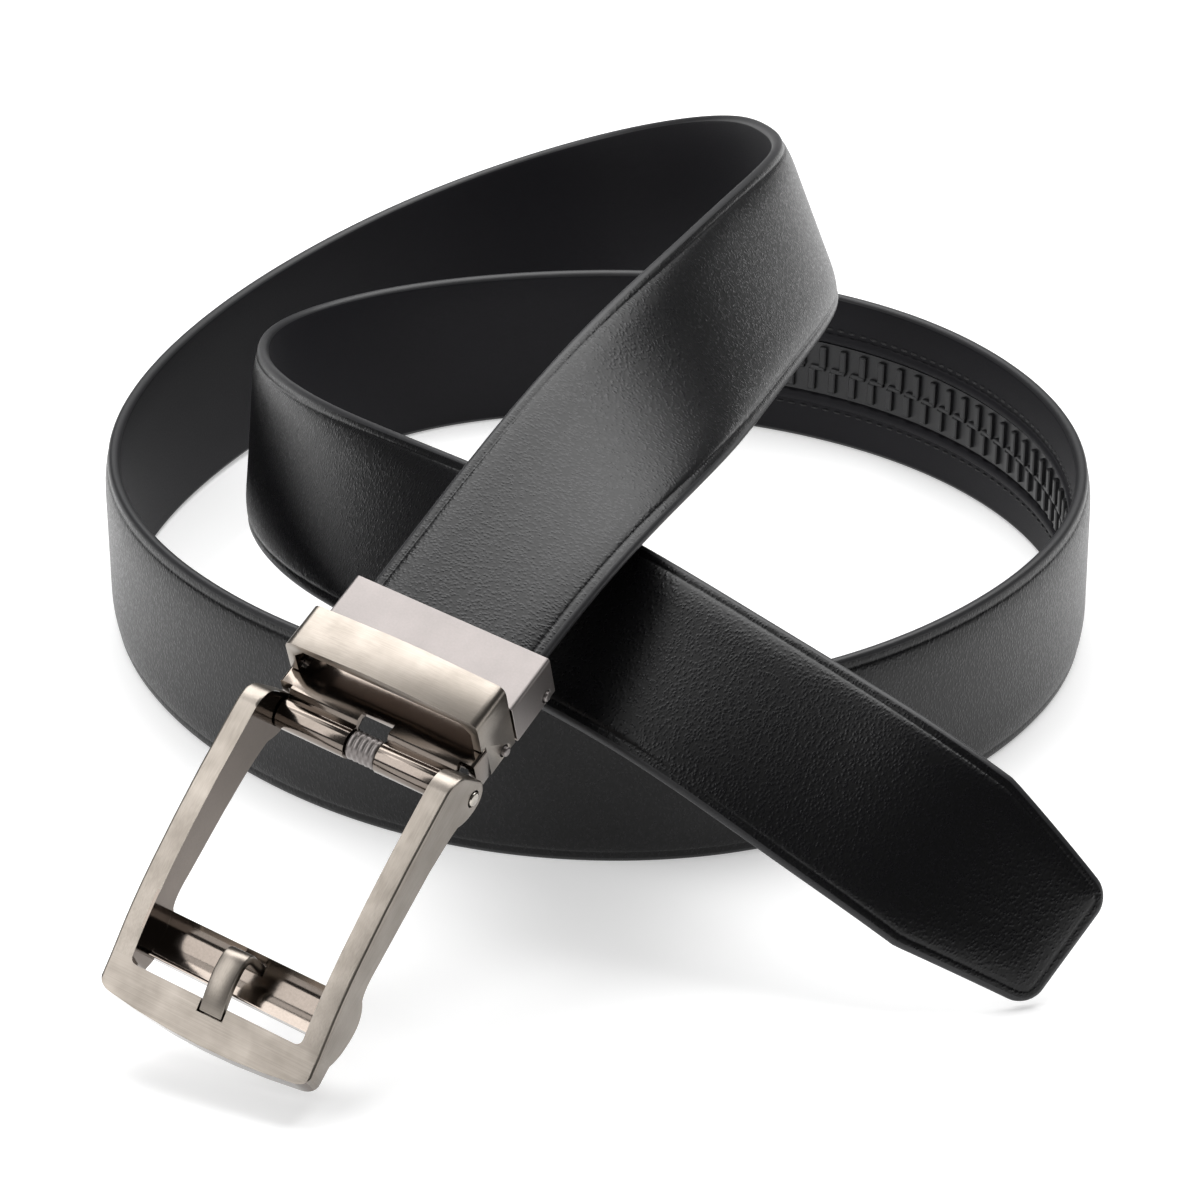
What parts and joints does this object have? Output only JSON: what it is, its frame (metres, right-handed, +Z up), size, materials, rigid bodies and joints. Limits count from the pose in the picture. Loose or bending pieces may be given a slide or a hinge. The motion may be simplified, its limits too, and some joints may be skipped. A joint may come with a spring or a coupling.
{
  "type": "ratchet belt",
  "caption": "Leather belt lying in loose loops, with a ratchet track on its inner face and a hinged rectangular frame buckle clamped to one end.",
  "frame": {"origin": "on the resting surface, under the middle of the whole belt's box", "axes": "+Z up from the surface, +Y away from the buckle towards the far side of the loops, +X to the right with the buckle in front"},
  "size_m": [0.1994, 0.3554, 0.091],
  "materials": {
    "black_leather": "pebble grain, semi-matt, with painted edges",
    "moulded_track": "moulded, satin",
    "satin_nickel": "satin plated",
    "brushed_nickel": "brushed along the bars, plated",
    "polished_gunmetal": "polished, dark plated"
  },
  "bodies": {
    "belt": {"leather_strap": "black_leather", "ratchet_track": "moulded_track", "end_clamp": "satin_nickel", "clamp_jaw": "polished_gunmetal", "clamp_pin": "polished_gunmetal", "keeper_loop": "brushed_nickel", "housing_pin": "polished_gunmetal", "base_plate": "polished_gunmetal", "hinge_pin": "polished_gunmetal", "notch_roller": "satin_nickel"},
    "buckle_frame": {"frame": "brushed_nickel", "prong": "brushed_nickel"}
  },
  "joints": [
    {"name": "frame_hinge", "type": "hinge", "parent": "belt", "child": "buckle_frame", "pos_m": [-0.03783, -0.13556, 0.04655], "axis": [0.8474, -0.5024, -0.1715], "range_deg": [-35, 60]}
  ]
}
